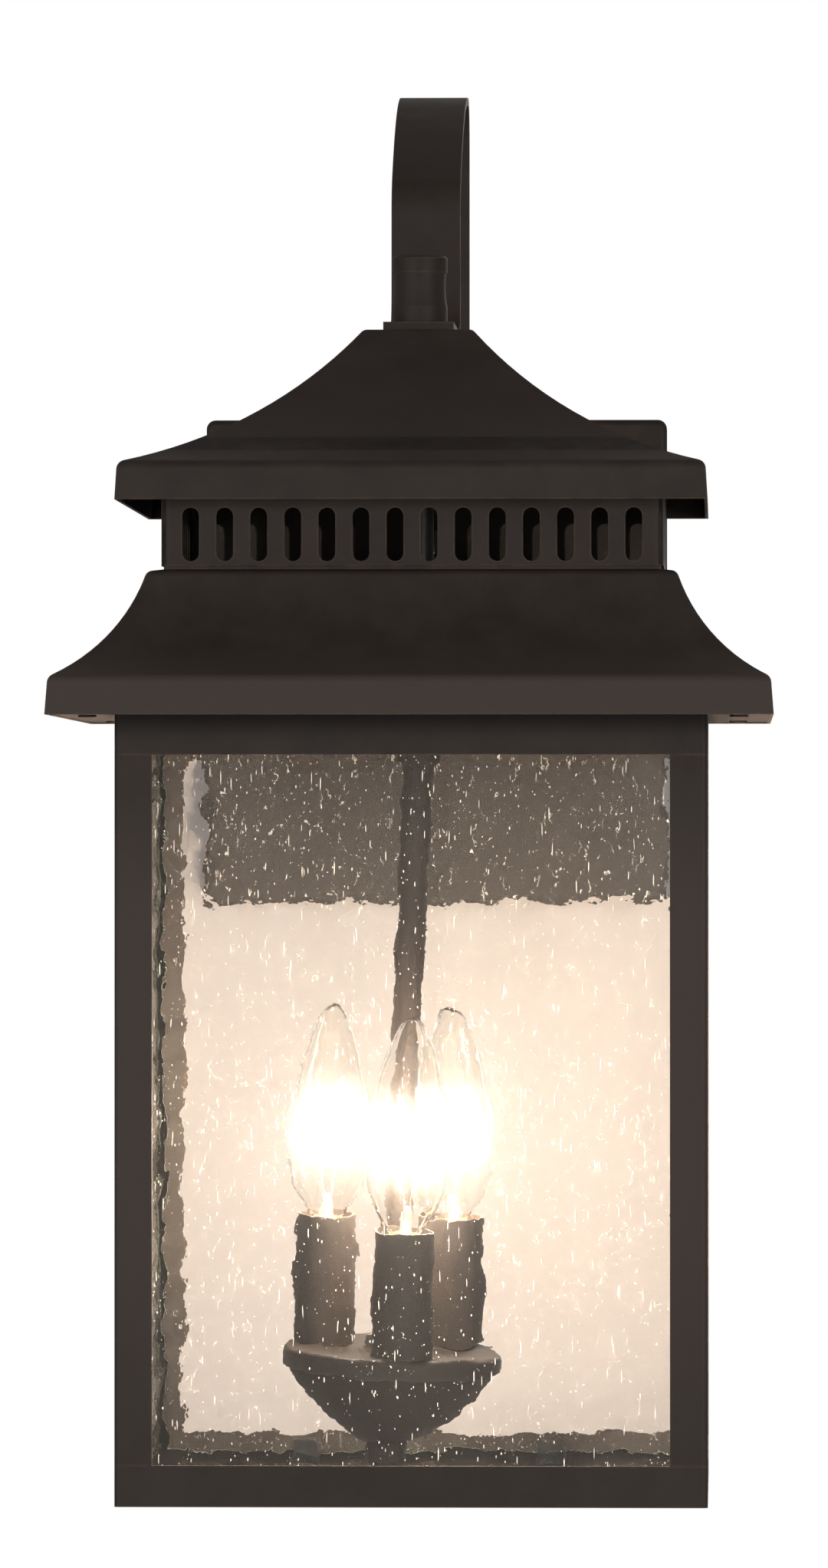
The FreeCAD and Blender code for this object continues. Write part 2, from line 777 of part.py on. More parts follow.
def tie_pipe():
    return tube(pipe_r, pipe_bore_r, bar_low - coupling_pipe + seat_gap, foot_top + finial_thread - seat_gap)


def finial_nut():
    top = foot_top + finial_height
    waist = top - finial_waist_drop
    shoulder = foot_top + finial_foot
    under = top - finial_collar
    step_r = finial_r - finial_step
    spool = turned(at(0, foot_top), at(finial_r, foot_top), at(finial_r, shoulder),
                   (at(finial_waist_r, waist), at(step_r, under)),
                   at(finial_r, under), at(finial_r, top - finial_bevel), at(finial_r - finial_bevel, top),
                   at(0, top))
    thread = rod(pipe_r + seat_gap, at(0, foot_top - finial_step), at(0, foot_top + finial_thread))
    return on_axis(spool.cut(thread))


def stem_coupling():
    body = hung(on_axis(rod(coupling_r, at(0, bar_low - coupling_height), at(0, bar_low + coupling_r))))
    body = body.cut(box(-reach, reach, -reach - axis_out, reach, bar_low, reach))
    body = body.cut(on_axis(rod(pipe_r + seat_gap, at(0, bar_low - coupling_pipe), at(0, reach))))
    stem_top = bar_low - coupling_pipe - coupling_web
    body = body.cut(hung(on_axis(rod(stem_r + seat_gap, at(0, cover_z), at(0, stem_top)))))
    return body.cut(hung(on_axis(rod(pipe_bore_r, at(0, cover_z), at(0, bar_low)))))


# Candle cluster, drawn plumb
def stem_tube():
    return tube(stem_r, stem_bore_r, bowl_z - stem_end, bar_low - coupling_pipe - coupling_web - seat_gap)


def lamp_places():
    turns = [math.radians(angle) for angle in lamp_angles]
    return [V(lamp_circle * math.sin(a), -axis_out - lamp_circle * math.cos(a), 0) for a in turns]


def cluster_cover():
    inner_r = cover_r - cover_sheet
    bend = cover_round * (1 - math.sqrt(0.5))
    under = cover_z - cover_sheet
    pan = turned(at(0, cover_z), at(cover_r - cover_round, cover_z),
                 (at(cover_r - bend, cover_z - bend), at(cover_r, cover_z - cover_round)),
                 at(cover_r, lip_z), at(inner_r, lip_z), at(inner_r, under), at(0, under))
    pan = on_axis(pan.cut(rod(stem_r + pass_gap, at(0, lip_z), at(0, rim_z))))
    for place in lamp_places():
        pan = pan.cut(rod(nipple_r + pass_gap, place + at(0, lip_z), place + at(0, rim_z)))
    return pan


def bowl_profile(inset):
    top_r = cover_r - cover_sheet - pass_gap - inset
    foot_z = bowl_z + inset
    fall = lip_z - foot_z
    middle = at(bowl_foot_r + (top_r - bowl_foot_r) * bowl_mid_share_r, lip_z - fall * bowl_mid_share_z)
    top = cover_z - cover_sheet
    return [at(0, top), at(top_r, top), at(top_r, lip_z), (middle, at(bowl_foot_r, foot_z)), at(0, foot_z)]


def cluster_bowl():
    shell = turned(*bowl_profile(0)).cut(turned(*bowl_profile(bowl_sheet)))
    return on_axis(shell.cut(rod(stem_r + pass_gap, at(0, bowl_z - knob_height), at(0, cover_z))))


def cluster_knob():
    low = bowl_z - knob_height
    bend = knob_round * (1 - math.sqrt(0.5))
    knob = turned(at(0, bowl_z), at(knob_r, bowl_z), at(knob_r, low + knob_round),
                  (at(knob_r - bend, low + bend), at(knob_r - knob_round, low)), at(0, low))
    return on_axis(knob.cut(rod(stem_r + seat_gap, at(0, bowl_z - stem_end - seat_gap), at(0, cover_z))))


def candle_sleeve(lean):
    # The foot is high enough for the low side of a leaning sleeve to stand on the cover
    tilt = math.radians(abs(lean))
    foot = lamp_pivot_z - (lamp_pivot_z - cover_z - sleeve_r * math.sin(tilt)) / math.cos(tilt)
    return tube(sleeve_r, sleeve_r - sleeve_wall, foot, rim_z)


def lamp_socket():
    body = rod(socket_r, at(0, socket_low), at(0, socket_top))
    body = body.cut(rod(socket_bore_r, at(0, bore_floor), at(0, reach)))
    return on_axis(body.cut(rod(nipple_r + pass_gap, at(0, -reach), at(0, socket_low + nipple_in_socket))))


def socket_shell():
    outer = socket_bore_r - seat_gap
    top = socket_top - shell_drop
    return tube(outer, outer - shell_wall, top - shell_height, top)


def socket_nipple():
    low = cover_z - cover_sheet - nipple_nut_height - seat_gap
    return tube(nipple_r, nipple_bore_r, low, socket_low + nipple_in_socket - turn_gap)


def nipple_nut():
    return nut(nipple_nut_r, nipple_r, cover_z - cover_sheet - nipple_nut_height, nipple_nut_height)


def socket_contact():
    return on_axis(rod(contact_r, at(0, bore_floor), at(0, bore_floor + contact_height)))


cap_tip_low = bore_floor + contact_height + turn_gap - rim_z
cap_cone_low = cap_tip_low + cap_tip_height
cap_low = cap_cone_low + cap_cone


def envelope(inset):
    # Two arcs that share an upright tangent at the widest place, as heights above the sleeve's rim
    def flank(r, rise):
        return ((lamp_r - r) ** 2 + rise ** 2) / (2 * (lamp_r - r))

    def point(z):
        rise = z - lamp_widest
        radius = flank(lamp_tip_r, lamp_tip - lamp_tip_round - lamp_widest) if rise > 0 else \
            flank(lamp_neck_r, lamp_widest)
        return at(lamp_r - radius + math.sqrt(radius ** 2 - rise ** 2) - inset, z)

    shoulder = lamp_tip - lamp_tip_round - inset
    tail_r = lamp_tail_r - inset
    neck_z = inset / 2
    top = point(shoulder) if inset == 0 else at(lamp_tip_r / 2, shoulder)
    return [at(0, lamp_tip - inset), top, (point((shoulder + lamp_widest) / 2), point(lamp_widest)),
            (point(lamp_widest / 2), point(neck_z)), at(tail_r, neck_z - lamp_tail_step),
            at(tail_r, -lamp_tail_low), at(0, -lamp_tail_low)]


def lamp_glass_shell():
    shell = turned(*envelope(0)).cut(turned(*envelope(lamp_glass)))
    return shell.cut(rod(lamp_tail_r - lamp_glass, at(0, -lamp_tail_low - cap_top),
                         at(0, -lamp_tail_low + cap_top)))


def lamp_cap():
    inner = cap_r - cap_wall
    return turned(at(0, cap_cone_low), at(cap_cone_r, cap_cone_low), at(cap_r, cap_low), at(cap_r, -cap_top),
                  at(inner, -cap_top), at(inner, -lamp_tail_low - seat_gap), at(0, -lamp_tail_low - seat_gap))


def lamp_contact():
    return rod(cap_tip_r, at(0, cap_tip_low), at(0, cap_cone_low))


def lamp_filament():
    mount = rod(press_r, at(0, -lamp_tail_low), at(0, press_high))
    for side in (-1, 1):
        mount = mount.fuse(rod(wire_r, at(side * press_r / 2, press_low), at(side * wire_spread, filament_z)))
    return mount.fuse(rod(filament_r, at(-wire_spread, filament_z), at(wire_spread, filament_z)))


# Writing the pieces
os.makedirs("parts", exist_ok=True)
save("wall_plate", wall_plate())
save("wall_gasket", wall_gasket())
save("mounting_bracket", mounting_bracket())
save("bracket_studs", *[bracket_stud(side * stud_spacing / 2) for side in (-1, 1)])
save("cap_nuts", *[cap_nut(side * stud_spacing / 2) for side in (-1, 1)])
save("ground_screw", ground_screw())
save("lead_grommets", grommet(plate_sheet, -plate_front, plate_lead_z),
     grommet(ring_sheet, -axis_out + ring_half - ring_sheet, ring_lead_z))
save("arm_strap", arm_strap())
save("arm_backing_plate", arm_backing_plate())
save("arm_screws", *[arm_screw(z) for z in arm_screw_z])

roof_shell = upper_roof()
save("upper_roof", roof_shell)
sides = {"front": 0, "right": 90, "back": 180, "left": 270}
slotted = vent_ring(roof_shell)
for side_name, side_angle in sides.items():
    save("vent_side_" + side_name, vent_side(slotted, side_angle))
save("lower_roof", lower_roof())
save("roof_soffit", roof_soffit())
save("soffit_fixings", *[soffit_tab(x, y) for x, y in soffit_screw_places()],
     *[soffit_screw(x, y) for x, y in soffit_screw_places()])
save("cage_top_rail", cage_top_rail())
save("cage_bottom_rail", cage_bottom_rail())
for post_name, post in cage_posts().items():
    save(post_name, post)
save("frame_screws", *[ring_screw(x, y) for x, y in ring_screw_places()],
     *[cage_screw(x, y) for x, y in cage_screw_places()])
for side_name, side_angle in sides.items():
    save("glass_" + side_name, pane(side_angle))
save("glass_clips", *glass_clips())

save("crossbar", crossbar())
save("crossbar_screws", *[bar_screw(side * bar_screw_x) for side in (-1, 1)])
save("tie_pipe", tie_pipe())
save("pipe_nuts", nut(pipe_nut_r, pipe_r, flange_low, pipe_nut_height),
     nut(pipe_nut_r, pipe_r, crown_z - roof_sheet - pipe_nut_height, pipe_nut_height))
save("finial_nut", finial_nut())
save("stem_coupling", stem_coupling())
save("stem_tube", hung(stem_tube()))
save("cluster_cover", hung(cluster_cover()))
save("cluster_bowl", hung(cluster_bowl()))
save("cluster_knob", hung(cluster_knob()))

lamp_offsets = [place + V(0, axis_out, 0) for place in lamp_places()]


def at_lamp(shape, offset, lean):
    copy = shape.copy()
    copy.rotate(V(0, -axis_out, lamp_pivot_z), V(0, 1, 0), lean)
    return hung(copy.translated(offset))


def at_lamps(shape, leans=lamp_leans):
    return [at_lamp(shape, offset, lean) for offset, lean in zip(lamp_offsets, leans)]


straight = [0.0] * len(lamp_leans)
save("lamp_sockets", *at_lamps(lamp_socket()))
save("socket_shells", *at_lamps(socket_shell()))
save("socket_contacts", *at_lamps(socket_contact()))
save("socket_nipples", *at_lamps(socket_nipple(), straight))
save("cover_nuts", hung(nut(stem_nut_r, stem_r, cover_z, stem_nut_height)),
     hung(nut(stem_nut_r, stem_r, cover_z - cover_sheet - stem_nut_height, stem_nut_height)),
     *at_lamps(nipple_nut(), straight))
for number, (offset, lean) in enumerate(zip(lamp_offsets, lamp_leans), 1):
    save("candle_sleeve_" + str(number), at_lamp(candle_sleeve(lean), offset, lean))
per_lamp = {"bulb_glass": on_axis(lamp_glass_shell().translated(at(0, rim_z))),
            "bulb_cap": on_axis(lamp_cap().translated(at(0, rim_z))),
            "bulb_contact": on_axis(lamp_contact().translated(at(0, rim_z))),
            "bulb_filament": on_axis(lamp_filament().translated(at(0, rim_z)))}
for piece_name, piece_shape in per_lamp.items():
    for number, placed in enumerate(at_lamps(piece_shape), 1):
        save(piece_name + "_" + str(number), placed)
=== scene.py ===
import bpy
import json
import math
import random
from mathutils import Matrix, Vector


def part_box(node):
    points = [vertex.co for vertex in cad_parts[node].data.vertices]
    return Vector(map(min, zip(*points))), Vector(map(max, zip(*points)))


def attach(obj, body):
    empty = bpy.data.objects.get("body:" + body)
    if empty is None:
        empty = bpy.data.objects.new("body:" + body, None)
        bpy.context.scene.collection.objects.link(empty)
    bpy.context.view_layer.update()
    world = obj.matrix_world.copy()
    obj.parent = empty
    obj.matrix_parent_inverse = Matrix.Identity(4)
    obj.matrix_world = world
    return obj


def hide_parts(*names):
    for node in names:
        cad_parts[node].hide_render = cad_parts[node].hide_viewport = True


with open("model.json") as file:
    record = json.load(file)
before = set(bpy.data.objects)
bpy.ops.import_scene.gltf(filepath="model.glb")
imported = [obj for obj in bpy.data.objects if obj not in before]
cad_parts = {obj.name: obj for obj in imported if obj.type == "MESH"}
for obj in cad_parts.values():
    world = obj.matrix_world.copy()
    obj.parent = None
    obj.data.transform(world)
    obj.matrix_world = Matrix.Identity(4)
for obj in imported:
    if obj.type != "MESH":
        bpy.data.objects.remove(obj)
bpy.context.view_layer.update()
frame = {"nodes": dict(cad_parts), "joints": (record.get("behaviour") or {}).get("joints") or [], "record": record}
nodes = frame["nodes"]
finishOf = {row["node"]: row["material_slot"] for row in frame["record"]["subparts"]}
scene = bpy.context.scene
mm = 0.001
print("frame loaded:", len(nodes), "nodes")

# render settings that belong to the picture, not to its size
scene.view_settings.view_transform = "Standard"
scene.cycles.max_bounces = 28
scene.cycles.transmission_bounces = 24
scene.cycles.transparent_max_bounces = 32


# small helpers for selecting and shading
def clearPick():
    if bpy.context.object and bpy.context.object.mode != "OBJECT":
        bpy.ops.object.mode_set(mode="OBJECT")
    bpy.ops.object.select_all(action="DESELECT")


def pickOnly(piece):
    clearPick()
    piece.select_set(True)
    bpy.context.view_layer.objects.active = piece


def applyAll(piece):
    pickOnly(piece)
    bpy.ops.object.transform_apply(location=True, rotation=True, scale=True)


def bakeModifiers(piece):
    pickOnly(piece)
    for modifier in list(piece.modifiers):
        bpy.ops.object.modifier_apply(modifier=modifier.name)


def joinInto(piece, others):
    clearPick()
    for other in others:
        other.select_set(True)
    piece.select_set(True)
    bpy.context.view_layer.objects.active = piece
    bpy.ops.object.join()


def softEdges(piece, angle=35):
    pickOnly(piece)
    bpy.ops.object.shade_smooth_by_angle(angle=math.radians(angle))


def setIn(piece, body, slot, *stoodFor):
    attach(piece, body)
    if stoodFor:
        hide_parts(*stoodFor)


# camera, as far off and as long a lens as the picture's straight lines ask for
cameraView = {
    "place": (0.109, -3.789, -0.0743),
    "pitch": 90.414,
    "yaw": 1.787,
    "lens": 226.8,
    "sensor": 36,
    "farthest": 50,
}
clearPick()
bpy.ops.object.camera_add(location=cameraView["place"],
                          rotation=(math.radians(cameraView["pitch"]), 0, math.radians(cameraView["yaw"])))
camera = bpy.context.object
camera.data.lens = cameraView["lens"]
camera.data.sensor_width = cameraView["sensor"]
camera.data.clip_end = cameraView["farthest"]
scene.camera = camera
print("camera set")


# node helpers
def addNode(tree, kind, **settings):
    node = tree.nodes.new(kind)
    for key, value in settings.items():
        setattr(node, key, value)
    return node


def setInputs(node, **values):
    for key, value in values.items():
        node.inputs[key.replace("_", " ")].default_value = value


def newMaterial(name):
    material = bpy.data.materials.new(name)
    material.use_nodes = True
    tree = material.node_tree
    tree.nodes.clear()
    out = addNode(tree, "ShaderNodeOutputMaterial")
    shader = addNode(tree, "ShaderNodeBsdfPrincipled")
    tree.links.new(shader.outputs["BSDF"], out.inputs["Surface"])
    return material, tree, shader


def setSurface(tree, socket):
    out = next(node for node in tree.nodes if node.bl_idname == "ShaderNodeOutputMaterial")
    tree.links.new(socket, out.inputs["Surface"])


def newGroup(name, inputs, outputs):
    group = bpy.data.node_groups.new(name, "ShaderNodeTree")
    for label, kind, value in inputs:
        socket = group.interface.new_socket(label, in_out="INPUT", socket_type="NodeSocket" + kind)
        if value is not None:
            socket.default_value = value
    for label, kind in outputs:
        group.interface.new_socket(label, in_out="OUTPUT", socket_type="NodeSocket" + kind)
    return group, addNode(group, "NodeGroupInput"), addNode(group, "NodeGroupOutput")


def placeGroup(tree, group, **values):
    node = addNode(tree, "ShaderNodeGroup", node_tree=group)
    for key, value in values.items():
        node.inputs[key].default_value = value
    return node


def mixColor(tree, blend="MIX"):
    return addNode(tree, "ShaderNodeMix", data_type="RGBA", blend_type=blend)


# cloudy change of colour and gloss, as on a sprayed coat
def makeCoatGroup():
    group, inside, outside = newGroup("sprayedCoat",
                                      [("Light", "Color", (0.05, 0.04, 0.03, 1)),
                                       ("Dark", "Color", (0.02, 0.02, 0.02, 1)),
                                       ("Size", "Float", 60.0), ("Gloss", "Float", 0.4),
                                       ("Matt", "Float", 0.55), ("Grain", "Float", 1500.0)],
                                      [("Color", "Color"), ("Roughness", "Float"), ("Height", "Float")])
    where = addNode(group, "ShaderNodeTexCoord")
    cloud = addNode(group, "ShaderNodeTexNoise")
    setInputs(cloud, Detail=6.0, Roughness=0.62)
    grain = addNode(group, "ShaderNodeTexNoise")
    setInputs(grain, Detail=2.0, Roughness=0.5)
    band = addNode(group, "ShaderNodeMapRange")
    setInputs(band, From_Min=0.32, From_Max=0.68)
    color = mixColor(group)
    gloss = addNode(group, "ShaderNodeMapRange")
    setInputs(gloss, From_Min=0.25, From_Max=0.75)
    link = group.links.new
    for texture, scale in ((cloud, "Size"), (grain, "Grain")):
        link(where.outputs["Object"], texture.inputs["Vector"])
        link(inside.outputs[scale], texture.inputs["Scale"])
    link(cloud.outputs["Fac"], band.inputs["Value"])
    link(band.outputs["Result"], color.inputs["Factor"])
    link(inside.outputs["Dark"], color.inputs["A"])
    link(inside.outputs["Light"], color.inputs["B"])
    link(cloud.outputs["Fac"], gloss.inputs["Value"])
    link(inside.outputs["Gloss"], gloss.inputs["To Min"])
    link(inside.outputs["Matt"], gloss.inputs["To Max"])
    link(color.outputs["Result"], outside.inputs["Color"])
    link(gloss.outputs["Result"], outside.inputs["Roughness"])
    link(grain.outputs["Fac"], outside.inputs["Height"])
    return group


# where hands and cloths have rubbed the coat thin on the bends
def makeRubGroup():
    group, inside, outside = newGroup("rubbedEdge",
                                      [("Width", "Float", 0.0011), ("Break", "Float", 160.0)],
                                      [("Mask", "Float")])
    bevel = addNode(group, "ShaderNodeBevel", samples=4)
    geometry = addNode(group, "ShaderNodeNewGeometry")
    bent = addNode(group, "ShaderNodeVectorMath", operation="DOT_PRODUCT")
    edge = addNode(group, "ShaderNodeMapRange")
    setInputs(edge, From_Min=0.995, From_Max=0.86)
    where = addNode(group, "ShaderNodeTexCoord")
    patch = addNode(group, "ShaderNodeTexNoise")
    setInputs(patch, Detail=4.0, Roughness=0.65)
    cut = addNode(group, "ShaderNodeMapRange")
    setInputs(cut, From_Min=0.36, From_Max=0.62)
    both = addNode(group, "ShaderNodeMath", operation="MULTIPLY")
    link = group.links.new
    link(inside.outputs["Width"], bevel.inputs["Radius"])
    link(bevel.outputs["Normal"], bent.inputs[0])
    link(geometry.outputs["Normal"], bent.inputs[1])
    link(bent.outputs["Value"], edge.inputs["Value"])
    link(where.outputs["Object"], patch.inputs["Vector"])
    link(inside.outputs["Break"], patch.inputs["Scale"])
    link(patch.outputs["Fac"], cut.inputs["Value"])
    link(edge.outputs["Result"], both.inputs[0])
    link(cut.outputs["Result"], both.inputs[1])
    link(both.outputs["Value"], outside.inputs["Mask"])
    return group


# painted shade inside the vent ring and on the plate behind its slots, darker there as if the lantern shaded them
paintedShadeArea = {"skin": 0.5 * mm, "above": 6 * mm}


def makeSootGroup():
    low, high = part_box("vent_side_front")
    middle = (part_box("vent_side_back")[1].y + low.y) / 2
    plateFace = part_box("wall_plate")[0].y
    skin = paintedShadeArea["skin"]
    reach = middle - low.y - skin
    limits = (("Y", "GREATER_THAN", middle - reach),
              ("Y", "LESS_THAN", plateFace + skin),
              ("Z", "GREATER_THAN", low.z + skin),
              ("Z", "LESS_THAN", high.z + paintedShadeArea["above"]))
    group, inside, outside = newGroup("paintedVentShade", [("Reach", "Float", reach)], [("Mask", "Float")])
    where = addNode(group, "ShaderNodeTexCoord")
    split = addNode(group, "ShaderNodeSeparateXYZ")
    size = addNode(group, "ShaderNodeMath", operation="ABSOLUTE")
    total = addNode(group, "ShaderNodeMath", operation="LESS_THAN")
    link = group.links.new
    link(where.outputs["Object"], split.inputs["Vector"])
    link(split.outputs["X"], size.inputs[0])
    link(size.outputs["Value"], total.inputs[0])
    link(inside.outputs["Reach"], total.inputs[1])
    for axis, kind, limit in limits:
        test = addNode(group, "ShaderNodeMath", operation=kind)
        test.inputs[1].default_value = limit
        both = addNode(group, "ShaderNodeMath", operation="MULTIPLY")
        link(split.outputs[axis], test.inputs[0])
        link(total.outputs["Value"], both.inputs[0])
        link(test.outputs["Value"], both.inputs[1])
        total = both
    link(total.outputs["Value"], outside.inputs["Mask"])
    return group


# painted light and shade on the coat: paler below a height, as if more light fell there, and less so towards the
# foot of the cage, a painted shade;
# painted shade lies close under the eave, as the eave's shadow
paintedLightAndShade = {
    "paintedPale": 1.36,               # times the coat's lighter colour: the painted light
    "footFade": 110 * mm,       # the foot's painted shade ends at this height
    "footShare": 0.25,          # how much of the painted light is left at the very foot
    # painted shade close under the eave, multiplied into the coat
    "eaveShade": (0.42, 0.42, 0.43),
    "eaveShadeDepth": 11 * mm,
}


def makeBleachGroup():
    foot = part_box("cage_bottom_rail")[0].z
    group, inside, outside = newGroup("paintedLitShade",
                                      [("Top", "Float", 0.0), ("Full", "Float", -0.1),
                                       ("Eave", "Float", 1.0)],
                                      [("Mask", "Float"), ("EaveShade", "Float")])
    where = addNode(group, "ShaderNodeTexCoord")
    split = addNode(group, "ShaderNodeSeparateXYZ")
    litBelow = addNode(group, "ShaderNodeMapRange", interpolation_type="SMOOTHSTEP")
    low = addNode(group, "ShaderNodeMapRange", interpolation_type="SMOOTHSTEP")
    setInputs(low, From_Min=foot, From_Max=foot + paintedLightAndShade["footFade"], To_Min=paintedLightAndShade["footShare"])
    both = addNode(group, "ShaderNodeMath", operation="MULTIPLY")
    link = group.links.new
    link(where.outputs["Object"], split.inputs["Vector"])
    for part in (litBelow, low):
        link(split.outputs["Z"], part.inputs["Value"])
    link(inside.outputs["Top"], litBelow.inputs["From Min"])
    link(inside.outputs["Full"], litBelow.inputs["From Max"])
    link(litBelow.outputs["Result"], both.inputs[0])
    link(low.outputs["Result"], both.inputs[1])
    link(both.outputs["Value"], outside.inputs["Mask"])
    # painted shade: a band darkening towards the eave's underside
    under = addNode(group, "ShaderNodeMath", operation="SUBTRACT")
    eaveShade = addNode(group, "ShaderNodeMapRange", interpolation_type="SMOOTHSTEP")
    setInputs(eaveShade, From_Min=paintedLightAndShade["eaveShadeDepth"], From_Max=0.0)
    link(inside.outputs["Eave"], under.inputs[0])
    link(split.outputs["Z"], under.inputs[1])
    link(under.outputs["Value"], eaveShade.inputs["Value"])
    link(eaveShade.outputs["Result"], outside.inputs["EaveShade"])
    return group


grainDepth = 0.2 * mm
coatGroup = makeCoatGroup()
rubGroup = makeRubGroup()
paintedShadeGroup = makeSootGroup()
litShadeGroup = makeBleachGroup()


# a coat with its wear; it can also carry painted shade, darker inside the vent ring and on the plate behind it, or
# painted light, paler below a height, with painted shade close under the eave
def coatedMetal(name, light, dark, rub, size, gloss, matt, grain, bump, metallic, specular,
                paintedShade=0.0, litShade=None):
    material, tree, shader = newMaterial(name)
    coat = placeGroup(tree, coatGroup, Light=(*light, 1), Dark=(*dark, 1), Size=size,
                      Gloss=gloss, Matt=matt, Grain=grain)
    wear = placeGroup(tree, rubGroup)
    color = mixColor(tree)
    color.inputs["B"].default_value = (*rub, 1)
    relief = addNode(tree, "ShaderNodeBump")
    setInputs(relief, Strength=bump, Distance=grainDepth)
    setInputs(shader, Metallic=metallic, Specular_IOR_Level=specular)
    if paintedShade:
        # painted shade: the coat turns darker inside the vent ring and on the plate behind it
        shadeZone = placeGroup(tree, paintedShadeGroup)
        black = mixColor(tree)
        black.inputs["B"].default_value = (*[c * (1 - paintedShade) for c in dark], 1)
        tree.links.new(shadeZone.outputs["Mask"], black.inputs["Factor"])
        tree.links.new(coat.outputs["Color"], black.inputs["A"])
        base = black.outputs["Result"]
    elif litShade:
        # painted light: paler below a height, less so at the foot, where painted shade darkens it
        litMask = placeGroup(tree, litShadeGroup, **litShade)
        paintedPale = mixColor(tree)
        paintedPale.inputs["B"].default_value = (*[c * paintedLightAndShade["paintedPale"] for c in light], 1)
        tree.links.new(litMask.outputs["Mask"], paintedPale.inputs["Factor"])
        tree.links.new(coat.outputs["Color"], paintedPale.inputs["A"])
        # painted shade under the eave darkens the coat
        eaveShaded = mixColor(tree, "MULTIPLY")
        eaveShaded.inputs["B"].default_value = (*paintedLightAndShade["eaveShade"], 1)
        tree.links.new(litMask.outputs["EaveShade"], eaveShaded.inputs["Factor"])
        tree.links.new(paintedPale.outputs["Result"], eaveShaded.inputs["A"])
        base = eaveShaded.outputs["Result"]
    else:
        base = coat.outputs["Color"]
    link = tree.links.new
    link(base, color.inputs["A"])
    link(wear.outputs["Mask"], color.inputs["Factor"])
    link(color.outputs["Result"], shader.inputs["Base Color"])
    link(coat.outputs["Roughness"], shader.inputs["Roughness"])
    link(coat.outputs["Height"], relief.inputs["Height"])
    link(relief.outputs["Normal"], shader.inputs["Normal"])
    return material


bronze = {
    "light": (0.033, 0.0255, 0.0215), "dark": (0.024, 0.0180, 0.0150), "rub": (0.075, 0.047, 0.031),
    "size": 55, "gloss": 0.50, "matt": 0.66, "grain": 1600, "bump": 0.12,
    "metallic": 0.0, "specular": 0.16,
}
cageBronze = dict(bronze, rub=(0.060, 0.040, 0.028))
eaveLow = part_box("lower_roof")[0].z
# where the painted light and shade lie on the lower roof and on the cage
roofLitShade = {"Top": eaveLow + 26 * mm, "Full": eaveLow + 12 * mm}
cageLitShade = {"Top": eaveLow - 6 * mm, "Full": eaveLow - 75 * mm, "Eave": eaveLow}
finishes = {
    # the bronze coat carries the painted shade inside the vent ring
    "bronze": coatedMetal("bronzeCoat", paintedShade=0.6, **bronze),
    "roof": coatedMetal("roofLitShadeCoat", litShade=roofLitShade, **bronze),
    "cage": coatedMetal("cageLitShadeCoat", litShade=cageLitShade, **cageBronze),
    "candle": coatedMetal("candleCoat", light=(0.030, 0.0235, 0.0195), dark=(0.020, 0.0155, 0.0130),
                          rub=(0.090, 0.055, 0.034), size=90, gloss=0.52, matt=0.68, grain=1900, bump=0.15,
                          metallic=0.0, specular=0.18),
    # the zinc parts turn nearly black in the painted shade inside the vent ring
    "zinc": coatedMetal("zincPlate", light=(0.60, 0.60, 0.58), dark=(0.44, 0.45, 0.46),
                        rub=(0.75, 0.75, 0.74), size=140, gloss=0.26, matt=0.42, grain=2600, bump=0.10,
                        metallic=1.0, specular=0.5, paintedShade=0.97),
    "dark_steel": coatedMetal("blackSteel", light=(0.060, 0.056, 0.052), dark=(0.036, 0.034, 0.032),
                              rub=(0.14, 0.13, 0.12), size=160, gloss=0.32, matt=0.5, grain=2400, bump=0.1,
                              metallic=0.8, specular=0.4),
    "ground_green": coatedMetal("greenScrew", light=(0.06, 0.36, 0.14), dark=(0.03, 0.24, 0.08),
                                rub=(0.40, 0.42, 0.40), size=300, gloss=0.3, matt=0.45, grain=2400, bump=0.1,
                                metallic=0.6, specular=0.5),
    "rubber": coatedMetal("sealRubber", light=(0.030, 0.030, 0.031), dark=(0.016, 0.016, 0.017),
                          rub=(0.05, 0.05, 0.05), size=120, gloss=0.6, matt=0.8, grain=1400, bump=0.35,
                          metallic=0.0, specular=0.3),
    "holder": coatedMetal("holderResin", light=(0.050, 0.042, 0.036), dark=(0.032, 0.027, 0.023),
                          rub=(0.09, 0.075, 0.06), size=160, gloss=0.34, matt=0.5, grain=1800, bump=0.12,
                          metallic=0.0, specular=0.45),
    "brass": coatedMetal("capBrass", light=(0.74, 0.62, 0.42), dark=(0.55, 0.44, 0.27),
                         rub=(0.86, 0.72, 0.46), size=220, gloss=0.2, matt=0.38, grain=2600, bump=0.08,
                         metallic=1.0, specular=0.5),
}
for name, node in nodes.items():
    finish = finishOf[name]
    if name == "lower_roof":
        finish = "roof"
    elif name.startswith(("cage_", "post_front")):
        finish = "cage"
    if finish in finishes:
        for slot in node.material_slots:
            slot.material = finishes[finish]
print("metal finishes on", len(nodes), "nodes")


dustColor = (0.98, 0.93, 0.86)


